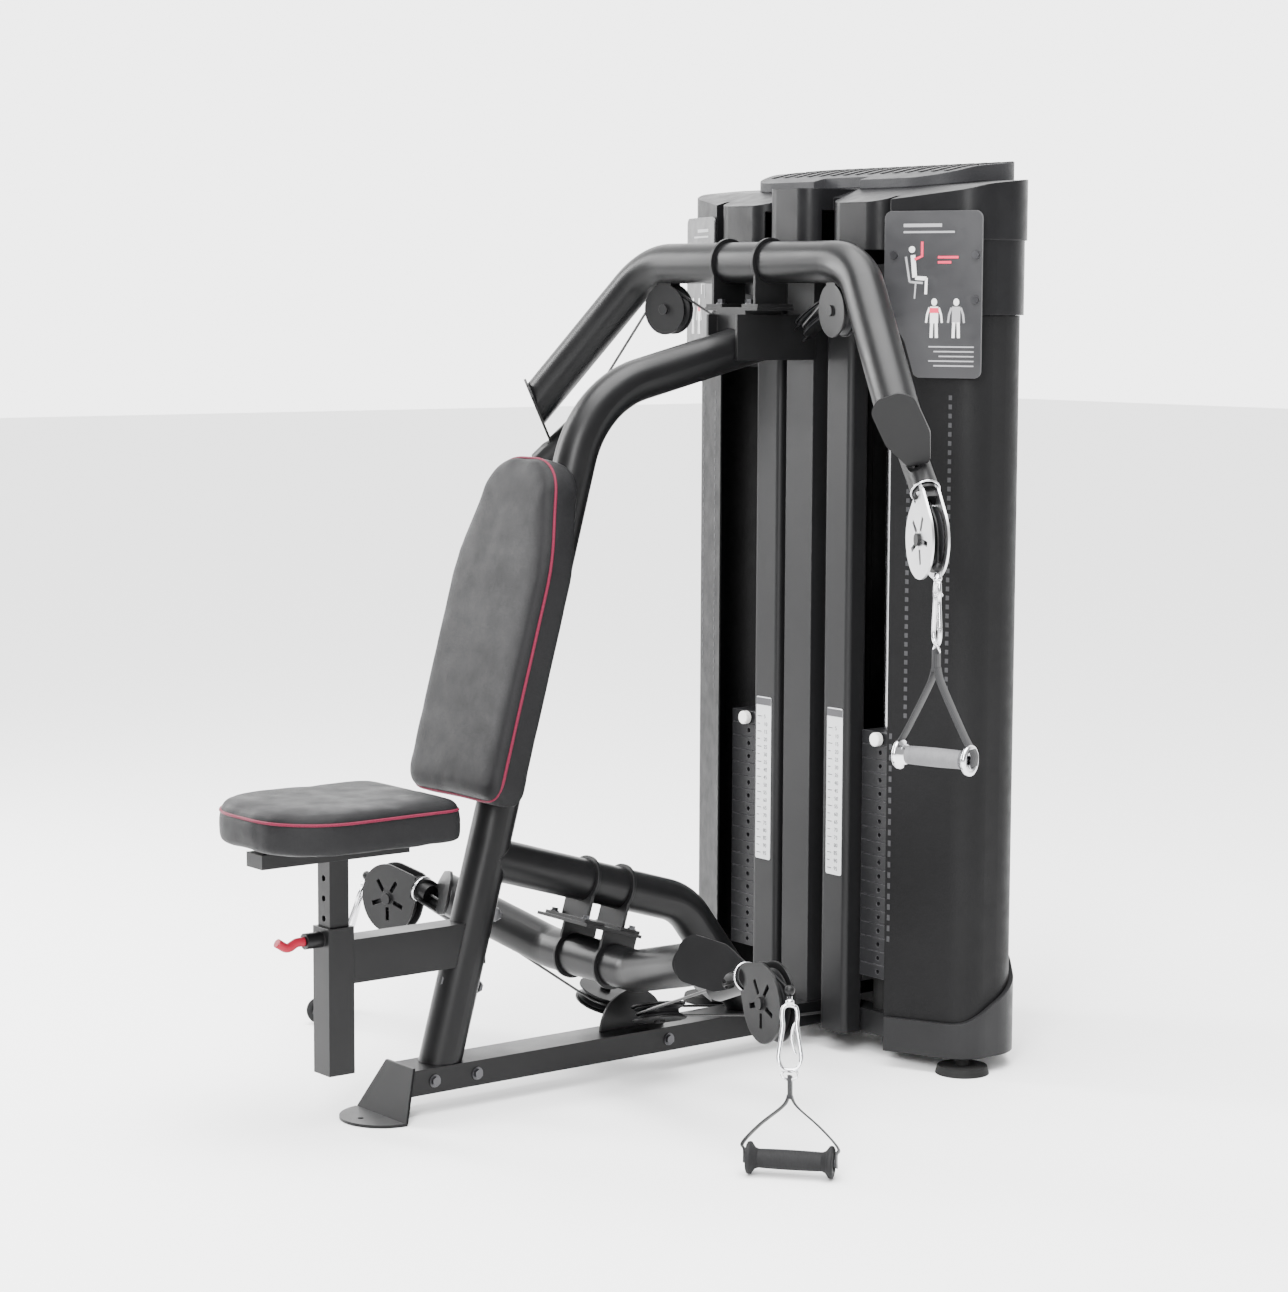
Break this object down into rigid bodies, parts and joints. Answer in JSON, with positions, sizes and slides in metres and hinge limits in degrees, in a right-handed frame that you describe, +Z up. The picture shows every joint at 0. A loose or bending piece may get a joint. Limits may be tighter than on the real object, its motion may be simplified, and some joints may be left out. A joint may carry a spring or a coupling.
{
  "type": "dual stack cable press machine",
  "caption": "Seated dual-stack cable press: padded bench on a bent tube frame, swivel pulleys with strap handles, and a shrouded weight tower.",
  "frame": {"origin": "on the floor, at the middle of the machine's footprint", "axes": "+Z up, +Y from the seat towards the weight tower, X = 0 the plane of symmetry"},
  "size_m": [1.5668, 1.6, 1.6782],
  "materials": {
    "frame_black": "semi-gloss powder coat",
    "bracket_black": "semi-gloss powder coat",
    "shroud_plastic": "satin moulded",
    "pad_vinyl": "grained upholstery vinyl",
    "cable_jacket": "nylon jacket",
    "rod_steel": "polished",
    "bolt_steel": "black zinc",
    "weight_iron": "painted",
    "rubber_black": "matt",
    "label_print": "printed plate",
    "lever_red": "moulded",
    "handle_black": "textured grip",
    "pulley_nylon": "moulded nylon"
  },
  "bodies": {
    "frame": {"column_tube": "frame_black", "brace_tube": "frame_black", "base_beam": "frame_black", "front_foot": "frame_black", "seat_arm": "frame_black", "back_pad": "pad_vinyl", "back_mount": "frame_black", "machine_cables": "cable_jacket", "right_lift_cable": "cable_jacket", "left_lift_cable": "cable_jacket", "upper_beam": "frame_black", "lower_beam": "frame_black", "upper_clamp": "frame_black", "lower_clamp": "frame_black", "tower_frame": "frame_black", "right_shroud": "shroud_plastic", "left_shroud": "shroud_plastic", "rear_panel": "shroud_plastic", "top_cap": "shroud_plastic", "top_panel": "shroud_plastic", "base_covers": "shroud_plastic", "guide_rods": "rod_steel", "rubber_feet_and_bumpers": "rubber_black", "weight_plates": "weight_iron", "pulley_guards": "bracket_black", "information_plates": "label_print", "fasteners": "bolt_steel"},
    "seat": {"seat_pad": "pad_vinyl", "seat_carrier": "frame_black"},
    "seat_lock": {"seat_pin": "lever_red"},
    "right_stack": {"right_stack_head": "weight_iron"},
    "right_selector": {"right_selector_pin": "rod_steel"},
    "right_floating_sheave": {"right_floating_pulley": "pulley_nylon"},
    "upper_right_swivel": {"upper_right_bracket": "bracket_black"},
    "upper_right_sheave": {"upper_right_pulley": "pulley_nylon"},
    "upper_right_handle_body": {"upper_right_handle": "handle_black"},
    "lower_right_swivel": {"lower_right_bracket": "bracket_black"},
    "lower_right_sheave": {"lower_right_pulley": "pulley_nylon"},
    "lower_right_handle_body": {"lower_right_handle": "handle_black"},
    "right_upper_guide_sheave": {"right_upper_guide_pulley": "pulley_nylon"},
    "right_column_sheave": {"right_column_pulley": "pulley_nylon"},
    "right_front_top_sheave": {"right_front_top_pulley": "pulley_nylon"},
    "right_base_sheave": {"right_base_pulley": "pulley_nylon"},
    "right_tower_foot_sheave": {"right_tower_foot_pulley": "pulley_nylon"},
    "right_rear_top_sheave": {"right_rear_top_pulley": "pulley_nylon"},
    "left_stack": {"left_stack_head": "weight_iron"},
    "left_selector": {"left_selector_pin": "rod_steel"},
    "left_floating_sheave": {"left_floating_pulley": "pulley_nylon"},
    "upper_left_swivel": {"upper_left_bracket": "bracket_black"},
    "upper_left_sheave": {"upper_left_pulley": "pulley_nylon"},
    "upper_left_handle_body": {"upper_left_handle": "handle_black"},
    "lower_left_swivel": {"lower_left_bracket": "bracket_black"},
    "lower_left_sheave": {"lower_left_pulley": "pulley_nylon"},
    "lower_left_handle_body": {"lower_left_handle": "handle_black"},
    "left_upper_guide_sheave": {"left_upper_guide_pulley": "pulley_nylon"},
    "left_column_sheave": {"left_column_pulley": "pulley_nylon"},
    "left_front_top_sheave": {"left_front_top_pulley": "pulley_nylon"},
    "left_base_sheave": {"left_base_pulley": "pulley_nylon"},
    "left_tower_foot_sheave": {"left_tower_foot_pulley": "pulley_nylon"},
    "left_rear_top_sheave": {"left_rear_top_pulley": "pulley_nylon"}
  },
  "joints": [
    {"name": "seat_height", "type": "slide", "parent": "frame", "child": "seat", "axis": [0, 0, 1], "range_m": [-0.105, 0.14]},
    {"name": "seat_lock_pull", "type": "slide", "parent": "frame", "child": "seat_lock", "axis": [0, -1, 0], "range_m": [0, 0.012], "stiffness_N_per_m": 800, "springref_m": -0.004},
    {"name": "right_stack_lift", "type": "slide", "parent": "frame", "child": "right_stack", "axis": [0, 0, 1], "range_m": [0, 0.54], "deforming": ["right_lift_cable"]},
    {"name": "right_selector_pull", "type": "slide", "parent": "right_stack", "child": "right_selector", "axis": [0, -1, 0], "range_m": [0, 0.12]},
    {"name": "right_floating_turn", "type": "hinge", "parent": "right_stack", "child": "right_floating_sheave", "pos_m": [0.192, 0.59, 0.74], "axis": [1, 0, 0], "continuous": true},
    {"name": "upper_right_swivel", "type": "hinge", "parent": "frame", "child": "upper_right_swivel", "pos_m": [0.561, 0.232, 1.094], "axis": [0.6983, -0.3011, -0.6493], "range_deg": [-60, 60]},
    {"name": "upper_right_pulley_turn", "type": "hinge", "parent": "upper_right_swivel", "child": "upper_right_sheave", "pos_m": [0.57469, 0.2261, 1.0129], "axis": [0.396, 0.9183, 0], "continuous": true},
    {"name": "upper_right_handle_swing", "type": "hinge", "parent": "upper_right_swivel", "child": "upper_right_handle_body", "pos_m": [0.62244, 0.20551, 0.9699], "axis": [-0.396, -0.9183, 0], "range_deg": [-15, 75]},
    {"name": "lower_right_swivel", "type": "hinge", "parent": "frame", "child": "lower_right_swivel", "pos_m": [0.496, -0.099, 0.2815], "axis": [0.9204, -0.2025, 0.3344], "range_deg": [-60, 60]},
    {"name": "lower_right_pulley_turn", "type": "hinge", "parent": "lower_right_swivel", "child": "lower_right_sheave", "pos_m": [0.57189, -0.1157, 0.2539], "axis": [0.2149, 0.9766, 0], "continuous": true},
    {"name": "lower_right_handle_swing", "type": "hinge", "parent": "lower_right_swivel", "child": "lower_right_handle_body", "pos_m": [0.64123, -0.13095, 0.28892], "axis": [-0.6174, -0.7867, 0], "range_deg": [0, 70]},
    {"name": "right_upper_guide_pulley_turn", "type": "hinge", "parent": "frame", "child": "right_upper_guide_sheave", "pos_m": [0.24524, 0.30716, 1.40048], "axis": [0.2242, 0.9738, 0.0386], "continuous": true},
    {"name": "right_column_pulley_turn", "type": "hinge", "parent": "frame", "child": "right_column_sheave", "pos_m": [0.1226, 0.37371, 1.39318], "axis": [-0.5135, -0.3017, 0.8033], "continuous": true},
    {"name": "right_front_top_pulley_turn", "type": "hinge", "parent": "frame", "child": "right_front_top_sheave", "pos_m": [0.16327, 0.49908, 1.40594], "axis": [0.8184, -0.5746, 0], "continuous": true},
    {"name": "right_base_pulley_turn", "type": "hinge", "parent": "frame", "child": "right_base_sheave", "pos_m": [0.08422, 0.03248, 0.12626], "axis": [0.3134, -0.1294, -0.9408], "continuous": true},
    {"name": "right_tower_foot_pulley_turn", "type": "hinge", "parent": "frame", "child": "right_tower_foot_sheave", "pos_m": [0.16906, 0.70723, 0.098], "axis": [0.8192, -0.5735, 0], "continuous": true},
    {"name": "right_rear_top_pulley_turn", "type": "hinge", "parent": "frame", "child": "right_rear_top_sheave", "pos_m": [0.192, 0.69, 1.45], "axis": [1, 0, 0], "continuous": true},
    {"name": "left_stack_lift", "type": "slide", "parent": "frame", "child": "left_stack", "axis": [0, 0, 1], "range_m": [0, 0.54], "deforming": ["left_lift_cable"]},
    {"name": "left_selector_pull", "type": "slide", "parent": "left_stack", "child": "left_selector", "axis": [0, -1, 0], "range_m": [0, 0.12]},
    {"name": "left_floating_turn", "type": "hinge", "parent": "left_stack", "child": "left_floating_sheave", "pos_m": [-0.192, 0.59, 0.74], "axis": [1, 0, 0], "continuous": true},
    {"name": "upper_left_swivel", "type": "hinge", "parent": "frame", "child": "upper_left_swivel", "pos_m": [-0.561, 0.232, 1.094], "axis": [-0.6983, -0.3011, -0.6493], "range_deg": [-60, 60]},
    {"name": "upper_left_pulley_turn", "type": "hinge", "parent": "upper_left_swivel", "child": "upper_left_sheave", "pos_m": [-0.57469, 0.2261, 1.0129], "axis": [0.396, -0.9183, 0], "continuous": true},
    {"name": "upper_left_handle_swing", "type": "hinge", "parent": "upper_left_swivel", "child": "upper_left_handle_body", "pos_m": [-0.62244, 0.20551, 0.9699], "axis": [-0.396, 0.9183, 0], "range_deg": [-15, 75]},
    {"name": "lower_left_swivel", "type": "hinge", "parent": "frame", "child": "lower_left_swivel", "pos_m": [-0.496, -0.099, 0.2815], "axis": [-0.9204, -0.2025, 0.3344], "range_deg": [-60, 60]},
    {"name": "lower_left_pulley_turn", "type": "hinge", "parent": "lower_left_swivel", "child": "lower_left_sheave", "pos_m": [-0.57189, -0.1157, 0.2539], "axis": [0.2149, -0.9766, 0], "continuous": true},
    {"name": "lower_left_handle_swing", "type": "hinge", "parent": "lower_left_swivel", "child": "lower_left_handle_body", "pos_m": [-0.64123, -0.13095, 0.28892], "axis": [-0.6174, 0.7867, 0], "range_deg": [0, 70]},
    {"name": "left_upper_guide_pulley_turn", "type": "hinge", "parent": "frame", "child": "left_upper_guide_sheave", "pos_m": [-0.24524, 0.30716, 1.40048], "axis": [0.2242, -0.9738, -0.0386], "continuous": true},
    {"name": "left_column_pulley_turn", "type": "hinge", "parent": "frame", "child": "left_column_sheave", "pos_m": [-0.1226, 0.37371, 1.39318], "axis": [-0.5135, 0.3017, -0.8033], "continuous": true},
    {"name": "left_front_top_pulley_turn", "type": "hinge", "parent": "frame", "child": "left_front_top_sheave", "pos_m": [-0.16327, 0.49908, 1.40594], "axis": [0.8184, 0.5746, 0], "continuous": true},
    {"name": "left_base_pulley_turn", "type": "hinge", "parent": "frame", "child": "left_base_sheave", "pos_m": [-0.08422, 0.03248, 0.12626], "axis": [0.3134, 0.1294, 0.9408], "continuous": true},
    {"name": "left_tower_foot_pulley_turn", "type": "hinge", "parent": "frame", "child": "left_tower_foot_sheave", "pos_m": [-0.16906, 0.70723, 0.098], "axis": [0.8192, 0.5735, 0], "continuous": true},
    {"name": "left_rear_top_pulley_turn", "type": "hinge", "parent": "frame", "child": "left_rear_top_sheave", "pos_m": [-0.192, 0.69, 1.45], "axis": [1, 0, 0], "continuous": true}
  ],
  "couplings": [
    {"joint": "right_upper_guide_pulley_turn", "follows": "upper_right_pulley_turn", "ratio": 1.3},
    {"joint": "right_column_pulley_turn", "follows": "upper_right_pulley_turn", "ratio": 1.3},
    {"joint": "right_front_top_pulley_turn", "follows": "upper_right_pulley_turn", "ratio": 1.04},
    {"joint": "right_base_pulley_turn", "follows": "lower_right_pulley_turn", "ratio": -1.3},
    {"joint": "right_tower_foot_pulley_turn", "follows": "lower_right_pulley_turn", "ratio": -1.3},
    {"joint": "right_rear_top_pulley_turn", "follows": "lower_right_pulley_turn", "ratio": -1.04},
    {"joint": "left_upper_guide_pulley_turn", "follows": "upper_left_pulley_turn", "ratio": 1.3},
    {"joint": "left_column_pulley_turn", "follows": "upper_left_pulley_turn", "ratio": 1.3},
    {"joint": "left_front_top_pulley_turn", "follows": "upper_left_pulley_turn", "ratio": 1.04},
    {"joint": "left_base_pulley_turn", "follows": "lower_left_pulley_turn", "ratio": -1.3},
    {"joint": "left_tower_foot_pulley_turn", "follows": "lower_left_pulley_turn", "ratio": -1.3},
    {"joint": "left_rear_top_pulley_turn", "follows": "lower_left_pulley_turn", "ratio": -1.04}
  ]
}
